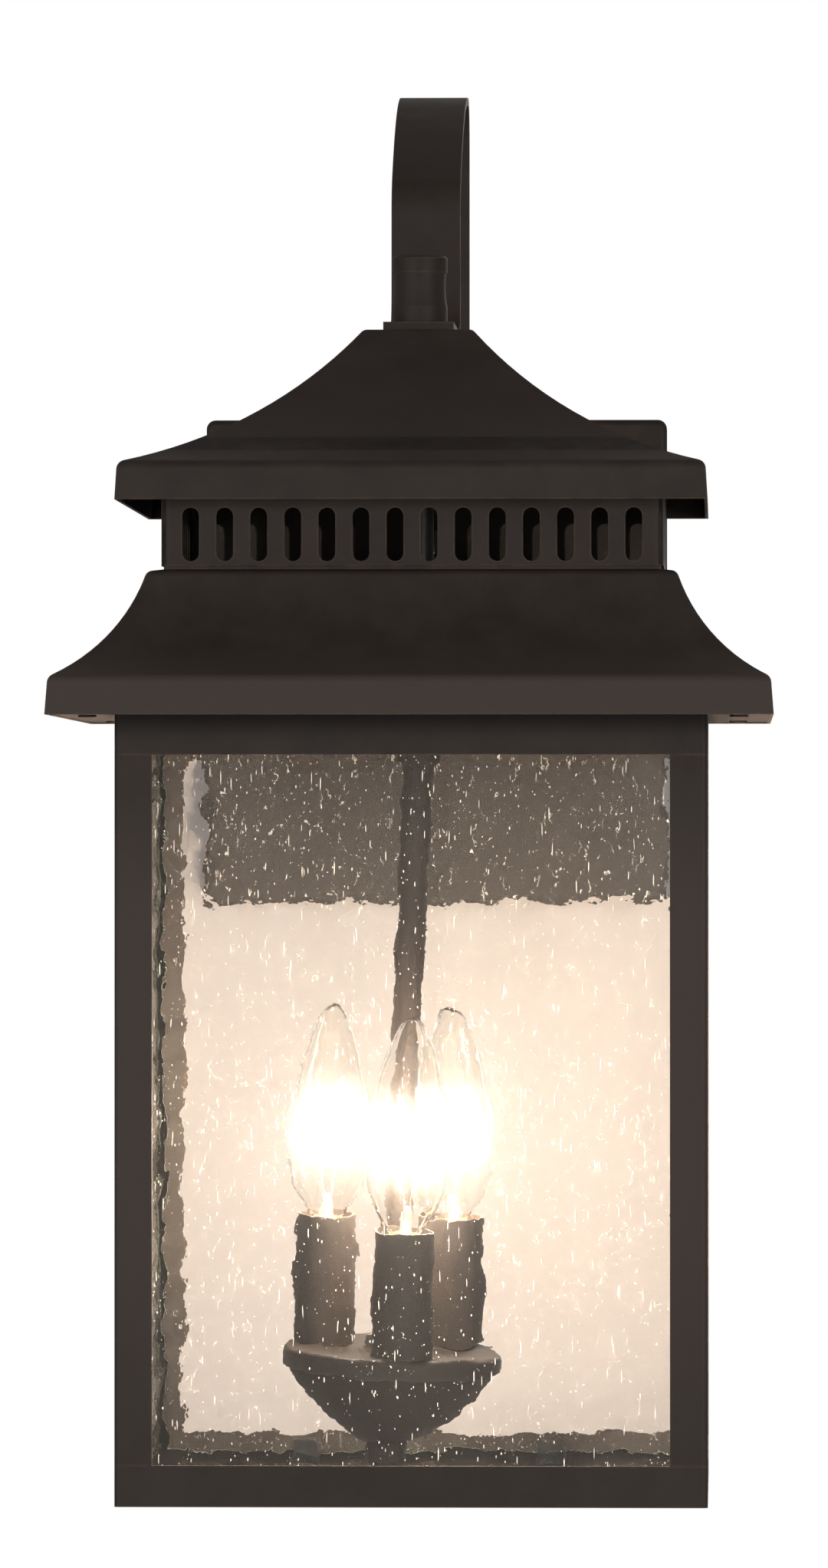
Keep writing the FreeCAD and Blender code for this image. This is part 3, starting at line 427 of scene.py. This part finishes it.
# glass that lets the light of the lamps and of the studio through to what is behind it;
# a film on it is dust, lit from before and behind, and a halo round what shines through
def clearGlass(name, tint, ior, roughness, ripple, film=None):
    material, tree, shader = newMaterial(name)
    setInputs(shader, Base_Color=(*tint, 1), IOR=ior, Transmission_Weight=1.0)
    where = addNode(tree, "ShaderNodeTexCoord")
    waves = addNode(tree, "ShaderNodeTexNoise")
    setInputs(waves, Scale=ripple["scale"], Detail=2.0, Roughness=0.45)
    relief = addNode(tree, "ShaderNodeBump")
    setInputs(relief, Strength=ripple["strength"], Distance=ripple["depth"])
    path = addNode(tree, "ShaderNodeLightPath")
    through = addNode(tree, "ShaderNodeBsdfTransparent")
    through.inputs["Color"].default_value = (*tint, 1)
    either = addNode(tree, "ShaderNodeMixShader")
    link = tree.links.new
    link(where.outputs["Object"], waves.inputs["Vector"])
    link(waves.outputs["Fac"], relief.inputs["Height"])
    link(relief.outputs["Normal"], shader.inputs["Normal"])
    if roughness:
        smear = addNode(tree, "ShaderNodeMapRange")
        setInputs(smear, From_Min=0.3, From_Max=0.8, To_Min=roughness[0], To_Max=roughness[1])
        link(waves.outputs["Fac"], smear.inputs["Value"])
        link(smear.outputs["Result"], shader.inputs["Roughness"])
    else:
        setInputs(shader, Roughness=0.0)
    clear = shader.outputs["BSDF"]
    if film:
        behind = addNode(tree, "ShaderNodeBsdfTranslucent")
        before = addNode(tree, "ShaderNodeBsdfDiffuse")
        blur = addNode(tree, "ShaderNodeBsdfRefraction")
        setInputs(blur, Roughness=film["blur"], IOR=ior)
        for lit in (behind, before):
            lit.inputs["Color"].default_value = (*dustColor, 1)
        dust, haloed, dusty = [addNode(tree, "ShaderNodeMixShader") for k in range(3)]
        dust.inputs["Fac"].default_value = film["before"]
        haloed.inputs["Fac"].default_value = film["halo"]
        dusty.inputs["Fac"].default_value = film["dust"]
        link(behind.outputs["BSDF"], dust.inputs[1])
        link(before.outputs["BSDF"], dust.inputs[2])
        link(clear, haloed.inputs[1])
        link(blur.outputs["BSDF"], haloed.inputs[2])
        link(haloed.outputs["Shader"], dusty.inputs[1])
        link(dust.outputs["Shader"], dusty.inputs[2])
        clear = dusty.outputs["Shader"]
    link(path.outputs["Is Shadow Ray"], either.inputs["Fac"])
    link(clear, either.inputs[1])
    link(through.outputs["BSDF"], either.inputs[2])
    setSurface(tree, either.outputs["Shader"])
    return material, tree, shader


# the four panes: rippled sheets with air seeds drawn out upright in them
paneGlass = {
    "tint": (0.965, 0.975, 0.962),
    "ior": 1.5,
    "edge": ((0.06, 0.09, 0.07), (0.30, 0.36, 0.28)),             # the green of the cut edges
    "step": 1.5 * mm,                                             # mesh of the ripples
    "ripples": ((9.0 * mm, 0.10 * mm), (3.6 * mm, 0.035 * mm)),   # size and height
    "relief": {"scale": 240.0, "strength": 0.08, "depth": 0.0004},
    "seedRelief": {"scale": 900.0, "strength": 0.1, "depth": 0.0002},
    "film": {"dust": 0.0062, "before": 0.48, "halo": 0.003, "blur": 0.7},
    "seedFilm": {"dust": 0.31, "before": 0.4, "halo": 0.0, "blur": 0.5},
    "seedTint": (1.0, 1.0, 1.0),
    "seedRough": (0.05, 0.2),
    "firstDraw": 4100,         # number that the first pane's random draws start from
    "dots": 2900,
    "streaks": 620,
    "dotWidth": (0.24 * mm, 0.62 * mm),
    "dotStretch": (1.0, 2.2),
    "dotPower": 2.2,           # the higher, the more small ones
    "streakWidth": (0.26 * mm, 0.44 * mm),
    "streakLength": (1.2 * mm, 5.4 * mm),
    "streakPower": 2.0,
    "lean": 0.03,
    "skin": 0.40 * mm,         # glass left over a seed
    "margin": 2 * mm,
}
paneMaterial = clearGlass("seededGlass", paneGlass["tint"], paneGlass["ior"], None,
                          paneGlass["relief"], paneGlass["film"])[0]
seedMaterial = clearGlass("seedSkin", paneGlass["seedTint"], paneGlass["ior"], paneGlass["seedRough"],
                          paneGlass["seedRelief"], paneGlass["seedFilm"])[0]

# the panes' cut edges, where the glass shows its green
rimMaterial, tree, shader = newMaterial("cutEdge")
where = addNode(tree, "ShaderNodeTexCoord")
chips = addNode(tree, "ShaderNodeTexNoise")
setInputs(chips, Scale=300.0, Detail=3.0)
green = mixColor(tree)
green.inputs["A"].default_value = (*paneGlass["edge"][0], 1)
green.inputs["B"].default_value = (*paneGlass["edge"][1], 1)
setInputs(shader, Roughness=0.3)
tree.links.new(where.outputs["Object"], chips.inputs["Vector"])
tree.links.new(chips.outputs["Fac"], green.inputs["Factor"])
tree.links.new(green.outputs["Result"], shader.inputs["Base Color"])


def modelSeed():
    clearPick()
    bpy.ops.mesh.primitive_uv_sphere_add(segments=6, ring_count=3, radius=0.5)
    seed = bpy.context.object
    bpy.ops.object.mode_set(mode="EDIT")
    bpy.ops.mesh.select_all(action="SELECT")
    bpy.ops.transform.resize(value=(1.0, 0.8, 1.0))    # seeds are pressed a little flat
    bpy.ops.mesh.flip_normals()                        # a void: its faces look inwards
    bpy.ops.object.mode_set(mode="OBJECT")
    return seed


def scatterSeeds(name, seed, low, high, chance):
    corners = [Vector(v.co) for v in seed.data.vertices]
    faces = [tuple(p.vertices) for p in seed.data.polygons]
    smallest, largest = paneGlass["dotWidth"]
    shortest, longest = paneGlass["streakLength"]
    margin = paneGlass["margin"]
    points, sides = [], []
    for k in range(paneGlass["dots"] + paneGlass["streaks"]):
        if k < paneGlass["dots"]:
            share = chance.uniform(0, 1) ** paneGlass["dotPower"]
            width = smallest + share * (largest - smallest)
            length = width * chance.uniform(*paneGlass["dotStretch"])
        else:
            width = chance.uniform(*paneGlass["streakWidth"])
            share = chance.uniform(0, 1) ** paneGlass["streakPower"]
            length = shortest + share * (longest - shortest)
        depth = paneGlass["skin"] + width / 2
        x = chance.uniform(low.x + margin, high.x - margin)
        y = chance.uniform(low.y + depth, high.y - depth)
        z = chance.uniform(low.z + length, high.z - length)
        lean = chance.gauss(0, paneGlass["lean"])
        start = len(points)
        for c in corners:
            up = c.z * length
            points.append((x + c.x * width + up * lean, y + c.y * width, z + up))
        sides.extend(tuple(start + i for i in face) for face in faces)
    mesh = bpy.data.meshes.new(name)
    mesh.from_pydata(points, [], sides)
    voids = bpy.data.objects.new(name, mesh)
    scene.collection.objects.link(voids)
    return voids


def makePane(name, node, turn, seed, number):
    low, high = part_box("glass_front")
    axis = (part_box("glass_back")[1].y + low.y) / 2
    width, height, thick = high.x - low.x, high.z - low.z, high.y - low.y
    clearPick()
    bpy.ops.mesh.primitive_grid_add(x_subdivisions=round(width / paneGlass["step"]),
                                    y_subdivisions=round(height / paneGlass["step"]), size=1)
    pane = bpy.context.object
    pane.name = name
    pane.scale = (width, height, 1)
    pane.rotation_euler = (math.radians(90), 0, 0)
    pane.location = (0, low.y, (low.z + high.z) / 2)
    applyAll(pane)
    wall = pane.modifiers.new("thickness", "SOLIDIFY")
    wall.thickness = thick
    wall.offset = -1
    bakeModifiers(pane)
    for face in pane.data.polygons:
        face.material_index = 0 if abs(face.normal.y) > 0.5 else 1
    voids = scatterSeeds(name + "Seeds", seed, low, high, random.Random(paneGlass["firstDraw"] + number))
    spin = Matrix.Rotation(math.radians(turn), 4, "Z")
    spin = Matrix.Translation((0, axis, 0)) @ spin @ Matrix.Translation((0, -axis, 0))
    for part in (pane, voids):
        part.data.transform(spin)
    for k, (size, tall) in enumerate(paneGlass["ripples"]):
        cloud = bpy.data.textures.new(name + "Ripple" + str(k), "CLOUDS")
        cloud.noise_scale = size
        cloud.noise_depth = 1
        swell = pane.modifiers.new("ripple", "DISPLACE")
        swell.texture = cloud
        swell.texture_coords = "GLOBAL"
        swell.strength = tall
        swell.mid_level = 0.5
    bakeModifiers(pane)
    pane.data.materials.append(paneMaterial)
    pane.data.materials.append(rimMaterial)
    voids.data.materials.append(seedMaterial)
    joinInto(pane, [voids])
    softEdges(pane, 50)
    setIn(pane, "root", "seeded_glass", node)


seedShape = modelSeed()
for number, (side, turn) in enumerate((("Front", 0), ("Right", 90), ("Back", 180), ("Left", 270))):
    makePane("pane" + side, "glass_" + side.lower(), turn, seedShape, number)
bpy.data.objects.remove(seedShape)
print("four panes with seeds")

# lamps: a blown envelope on a profile of rings, heights in mm above the sleeve's rim
lampGlass = {
    "tint": (1.0, 0.99, 0.97), "ior": 1.45, "sides": 40, "wall": 0.6 * mm,
    "relief": {"scale": 120.0, "strength": 0.05, "depth": 0.0004},
    "tail": ((-9.0, 5.1), (-1.2, 5.1), (-0.6, 5.7)),     # height and radius, down in the cap
    "belly": 15.6, "bellyAt": 27.5, "neck": 6.7, "tip": 77.4,
    "ogive": 2.38, "ogiveFrom": 46.0,                    # ogive: the tip's bluntness
    "rings": 18, "tipRings": (9.0, 7.0, 5.2, 3.7, 2.5, 1.6, 0.9, 0.4, 0.12, 0.02),
    "glow": (1.0, 0.94, 0.84), "glowStrength": 0.26,
    "glowFoot": (10.0, 30.0), "glowHead": (34.0, 56.0),  # where the glow fades
    "glowRim": 0.70,                                     # and how far towards the outline
    "light": (1.0, 0.83, 0.69), "watt": 0.82, "lightRadius": 6 * mm, "lightAt": 28.0,
}
lampWire = {
    "press": ((-9.0, 2.3), (3.0, 2.3), (6.5, 1.9), (8.4, 1.2), (9.0, 0.5)), "pressSides": 16,
    "lead": 0.22, "leadPath": ((1.0, 7.0), (1.1, 11.0), (2.6, 17.0), (4.0, 23.0), (4.0, 27.0)),
    "coil": 0.62, "wire": 0.15, "turns": 15, "turnSteps": 8, "arch": 1.6,
    "glow": ((1.0, 0.70, 0.40), (1.0, 0.84, 0.58)), "glowStrength": 60.0,
    "pressGlow": ((1.0, 0.80, 0.58), (1.0, 0.96, 0.88)), "pressStrength": 0.5,
    "pressIor": 1.5, "pressRough": (0.05, 0.2),
    "pressRelief": {"scale": 900.0, "strength": 0.3, "depth": 0.0006},
}


def ringTower(name, rings, sides):
    clearPick()
    height, radius = rings[0]
    bpy.ops.mesh.primitive_circle_add(vertices=sides, radius=radius * mm, location=(0, 0, height * mm))
    tower = bpy.context.object
    tower.name = name
    applyAll(tower)
    bpy.ops.object.mode_set(mode="EDIT")
    bpy.ops.mesh.select_all(action="SELECT")
    for (z0, r0), (z1, r1) in zip(rings, rings[1:]):
        bpy.ops.mesh.extrude_region_move(TRANSFORM_OT_translate={"value": (0, 0, (z1 - z0) * mm)})
        bpy.ops.transform.resize(value=(r1 / r0, r1 / r0, 1))
    bpy.ops.mesh.merge(type="CENTER")                  # closes the tip
    bpy.ops.mesh.select_all(action="SELECT")
    bpy.ops.mesh.normals_make_consistent(inside=False)
    bpy.ops.object.mode_set(mode="OBJECT")
    return tower


def tubeAlong(name, points, radius):
    clearPick()
    bpy.ops.curve.primitive_nurbs_path_add()
    tube = bpy.context.object
    tube.name = name
    line = tube.data.splines[0]
    line.points.add(len(points) - len(line.points))
    for knot, place in zip(line.points, points):
        knot.co = (*[c * mm for c in place], 1)
    line.order_u = 3
    line.use_endpoint_u = True
    tube.data.resolution_u = 3
    tube.data.bevel_depth = radius * mm
    tube.data.bevel_resolution = 1
    tube.data.use_fill_caps = True
    pickOnly(tube)
    bpy.ops.object.convert(target="MESH")
    return bpy.context.object


def envelopeRadius(z):
    belly, rise = lampGlass["belly"], z - lampGlass["bellyAt"]
    if rise <= 0:
        fall = belly - lampGlass["neck"]
        bow = (fall ** 2 + lampGlass["bellyAt"] ** 2) / (2 * fall)   # radius of the flank
        return belly - bow + math.sqrt(bow ** 2 - rise ** 2)
    above = lampGlass["ogiveFrom"] - lampGlass["bellyAt"]
    start = lampGlass["ogive"] * math.sqrt(lampGlass["tip"] - lampGlass["ogiveFrom"])
    if rise < above:
        return belly - (belly - start) * (rise / above) ** 2
    return lampGlass["ogive"] * math.sqrt(lampGlass["tip"] - z)


def envelopeRings():
    tip, count = lampGlass["tip"], lampGlass["rings"]
    first, *others = lampGlass["tipRings"]
    heights = [(tip - first) * k / count for k in range(count + 1)]
    heights += [tip - drop for drop in others]
    return list(lampGlass["tail"]) + [(z, envelopeRadius(z)) for z in heights]


lampMaterial, tree, shader = clearGlass("lampGlass", lampGlass["tint"], lampGlass["ior"], None,
                                        lampGlass["relief"])
height = addNode(tree, "ShaderNodeAttribute", attribute_name="rise")
foot = addNode(tree, "ShaderNodeMapRange", interpolation_type="SMOOTHSTEP")
head = addNode(tree, "ShaderNodeMapRange", interpolation_type="SMOOTHSTEP")
setInputs(foot, From_Min=lampGlass["glowFoot"][0], From_Max=lampGlass["glowFoot"][1])
setInputs(head, From_Min=lampGlass["glowHead"][1], From_Max=lampGlass["glowHead"][0])
both = addNode(tree, "ShaderNodeMath", operation="MULTIPLY")
facing = addNode(tree, "ShaderNodeLayerWeight")
facing.inputs["Blend"].default_value = 0.5
inner = addNode(tree, "ShaderNodeMapRange", interpolation_type="SMOOTHSTEP")
setInputs(inner, From_Min=lampGlass["glowRim"], From_Max=0.0)
core = addNode(tree, "ShaderNodeMath", operation="MULTIPLY")
glow = mixColor(tree)
glow.inputs["A"].default_value = (0, 0, 0, 1)
glow.inputs["B"].default_value = (*lampGlass["glow"], 1)
shader.inputs["Emission Strength"].default_value = lampGlass["glowStrength"]
for fade in (foot, head):
    tree.links.new(height.outputs["Fac"], fade.inputs["Value"])
tree.links.new(foot.outputs["Result"], both.inputs[0])
tree.links.new(head.outputs["Result"], both.inputs[1])
tree.links.new(facing.outputs["Facing"], inner.inputs["Value"])
tree.links.new(both.outputs["Value"], core.inputs[0])
tree.links.new(inner.outputs["Result"], core.inputs[1])
tree.links.new(core.outputs["Value"], glow.inputs["Factor"])
tree.links.new(glow.outputs["Result"], shader.inputs["Emission Color"])

pressMaterial, tree, shader = clearGlass("pressGlass", lampGlass["tint"], lampWire["pressIor"],
                                         lampWire["pressRough"], lampWire["pressRelief"])
waves = next(node for node in tree.nodes if node.bl_idname == "ShaderNodeTexNoise")
shine = mixColor(tree)
shine.inputs["A"].default_value = (*lampWire["pressGlow"][0], 1)
shine.inputs["B"].default_value = (*lampWire["pressGlow"][1], 1)
shader.inputs["Emission Strength"].default_value = lampWire["pressStrength"]
tree.links.new(waves.outputs["Fac"], shine.inputs["Factor"])
tree.links.new(shine.outputs["Result"], shader.inputs["Emission Color"])

wireMaterial, tree, shader = newMaterial("glowingWire")
where = addNode(tree, "ShaderNodeTexCoord")
flicker = addNode(tree, "ShaderNodeTexNoise")
setInputs(flicker, Scale=900.0, Detail=1.0)
heat = mixColor(tree)
heat.inputs["A"].default_value = (*lampWire["glow"][0], 1)
heat.inputs["B"].default_value = (*lampWire["glow"][1], 1)
setInputs(shader, Base_Color=(0.9, 0.75, 0.5, 1), Roughness=0.4,
          Emission_Strength=lampWire["glowStrength"])
tree.links.new(where.outputs["Object"], flicker.inputs["Vector"])
tree.links.new(flicker.outputs["Fac"], heat.inputs["Factor"])
tree.links.new(heat.outputs["Result"], shader.inputs["Emission Color"])

# the point lights in the lamps carry their light, so what shines here is seen but lights nothing
for material in (lampMaterial, pressMaterial, wireMaterial):
    tree = material.node_tree
    shader = next(node for node in tree.nodes if node.bl_idname == "ShaderNodeBsdfPrincipled")
    path = addNode(tree, "ShaderNodeLightPath")
    sharp = addNode(tree, "ShaderNodeMath", operation="MAXIMUM")
    dim = mixColor(tree)
    dim.inputs["A"].default_value = (0, 0, 0, 1)
    tree.links.new(path.outputs["Is Camera Ray"], sharp.inputs[0])
    tree.links.new(path.outputs["Is Singular Ray"], sharp.inputs[1])
    tree.links.new(sharp.outputs["Value"], dim.inputs["Factor"])
    tree.links.new(shader.inputs["Emission Color"].links[0].from_socket, dim.inputs["B"])
    tree.links.new(dim.outputs["Result"], shader.inputs["Emission Color"])
    material.cycles.emission_sampling = "NONE"


def makeEnvelope(number, place):
    bulb = ringTower("lampEnvelope" + str(number), envelopeRings(), lampGlass["sides"])
    wall = bulb.modifiers.new("wall", "SOLIDIFY")
    wall.thickness = lampGlass["wall"]
    wall.offset = -1
    bakeModifiers(bulb)
    rise = bulb.data.attributes.new("rise", "FLOAT", "POINT")
    rise.data.foreach_set("value", [v.co.z / mm for v in bulb.data.vertices])
    bulb.data.transform(place)
    bulb.data.materials.append(lampMaterial)
    softEdges(bulb, 60)
    setIn(bulb, "bulb_" + str(number), "lamp_glass", "bulb_glass_" + str(number))


def makeFilament(number, place):
    press = ringTower("lampWire" + str(number), lampWire["press"], lampWire["pressSides"])
    press.data.materials.append(pressMaterial)
    spread, top = lampWire["leadPath"][-1]
    parts = []
    for side in (-1, 1):
        lead = tubeAlong("lead", [(side * x, 0, z) for x, z in lampWire["leadPath"]], lampWire["lead"])
        lead.data.materials.append(finishes["zinc"])
        parts.append(lead)
    steps = lampWire["turns"] * lampWire["turnSteps"]
    coil = []
    for k in range(steps + 1):
        share = k / steps
        angle = 2 * math.pi * k / lampWire["turnSteps"]
        lift = top + lampWire["arch"] * math.sin(math.pi * share)
        coil.append((spread * (2 * share - 1), lampWire["coil"] * math.cos(angle),
                     lift + lampWire["coil"] * math.sin(angle)))
    filament = tubeAlong("coil", coil, lampWire["wire"])
    filament.data.materials.append(wireMaterial)
    joinInto(press, parts + [filament])
    press.data.transform(place)
    softEdges(press, 50)
    setIn(press, "bulb_" + str(number), "filament", "bulb_filament_" + str(number))


lampJoints = {j["child"]: j for j in frame["joints"] if j["type"] == "hinge"}
for number in (1, 2, 3):
    joint = lampJoints["bulb_" + str(number)]
    up = Vector(joint["axis"]).normalized()
    turn = Vector((0, 0, 1)).rotation_difference(up).to_matrix().to_4x4()
    place = Matrix.Translation(Vector(joint["pos_m"])) @ turn
    makeEnvelope(number, place)
    makeFilament(number, place)
    clearPick()
    bpy.ops.object.light_add(type="POINT", location=place @ Vector((0, 0, lampGlass["lightAt"] * mm)))
    lampLight = bpy.context.object
    lampLight.data.energy = lampGlass["watt"]
    lampLight.data.color = lampGlass["light"]
    lampLight.data.shadow_soft_size = lampGlass["lightRadius"]
    lampLight.visible_camera = False
print("three lamps lit")

# studio: a soft light at each side in front and one for the back, a pale wall and a pale floor
studio = {
    "lights": (((-1.45, -2.6, 0.12), 1.0, 29),           # place, size and watt
               ((1.55, -2.5, 0.10), 1.0, 29),
               ((0.7, 2.6, 0.6), 1.2, 26)),
    "aim": (0.0, -0.25, -0.12),
    "ambient": (0.96, 0.92, 0.87),
    "ambientLevel": 0.17,
    "wall": (0.48, 0.428, 0.416),
    "wallTop": 1.6,
    "wallGap": 0.6 * mm,
    "floor": (0.80, 0.80, 0.79),
    "floorWhite": 0.75,
    "floorHeight": -0.95,
    "span": 8.0,
}
for place, size, watt in studio["lights"]:
    clearPick()
    aim = (Vector(studio["aim"]) - Vector(place)).to_track_quat("-Z", "Y").to_euler()
    bpy.ops.object.light_add(type="AREA", location=place, rotation=aim)
    panel = bpy.context.object
    panel.data.size = size
    panel.data.energy = watt
    panel.visible_camera = False

world = bpy.data.worlds.new("studioAir")
scene.world = world
world.use_nodes = True
tree = world.node_tree
tree.nodes.clear()
worldOut = addNode(tree, "ShaderNodeOutputWorld")
air = addNode(tree, "ShaderNodeBackground")
setInputs(air, Color=(*studio["ambient"], 1), Strength=studio["ambientLevel"])
white = addNode(tree, "ShaderNodeBackground")
setInputs(white, Color=(1, 1, 1, 1), Strength=1.0)
path = addNode(tree, "ShaderNodeLightPath")
seen = addNode(tree, "ShaderNodeMixShader")
tree.links.new(path.outputs["Is Camera Ray"], seen.inputs["Fac"])
tree.links.new(air.outputs["Background"], seen.inputs[1])
tree.links.new(white.outputs["Background"], seen.inputs[2])
tree.links.new(seen.outputs["Shader"], worldOut.inputs["Surface"])


# paint that the camera sees as white, or nearer to it; from behind, and for shadows, it is clear
def stagePaint(name, color, white):
    material, tree, shader = newMaterial(name)
    setInputs(shader, Base_Color=(*color, 1), Roughness=0.9, Specular_IOR_Level=0.1)
    paper = addNode(tree, "ShaderNodeEmission")
    setInputs(paper, Color=(1, 1, 1, 1), Strength=1.0)
    gone = addNode(tree, "ShaderNodeBsdfTransparent")
    path = addNode(tree, "ShaderNodeLightPath")
    geometry = addNode(tree, "ShaderNodeNewGeometry")
    share = addNode(tree, "ShaderNodeMath", operation="MULTIPLY")
    share.inputs[1].default_value = white
    clear = addNode(tree, "ShaderNodeMath", operation="MAXIMUM")
    front, sided = [addNode(tree, "ShaderNodeMixShader") for k in range(2)]
    link = tree.links.new
    link(path.outputs["Is Camera Ray"], share.inputs[0])
    link(share.outputs["Value"], front.inputs["Fac"])
    link(shader.outputs["BSDF"], front.inputs[1])
    link(paper.outputs["Emission"], front.inputs[2])
    link(geometry.outputs["Backfacing"], clear.inputs[0])
    link(path.outputs["Is Shadow Ray"], clear.inputs[1])
    link(clear.outputs["Value"], sided.inputs["Fac"])
    link(front.outputs["Shader"], sided.inputs[1])
    link(gone.outputs["BSDF"], sided.inputs[2])
    setSurface(tree, sided.outputs["Shader"])
    return material


wallHeight = studio["wallTop"] - studio["floorHeight"]
clearPick()
wallPlace = (0, studio["wallGap"], studio["floorHeight"] + wallHeight / 2)
bpy.ops.mesh.primitive_plane_add(size=1, location=wallPlace, rotation=(math.radians(90), 0, 0))
wall = bpy.context.object
wall.name = "studioWall"
wall.scale = (studio["span"], wallHeight, 1)
wall.data.materials.append(stagePaint("wallPaint", studio["wall"], 1.0))
clearPick()
bpy.ops.mesh.primitive_plane_add(size=studio["span"], location=(0, 0, studio["floorHeight"]))
floor = bpy.context.object
floor.name = "studioFloor"
floor.data.materials.append(stagePaint("floorPaint", studio["floor"], studio["floorWhite"]))
print("studio built")

clearPick()
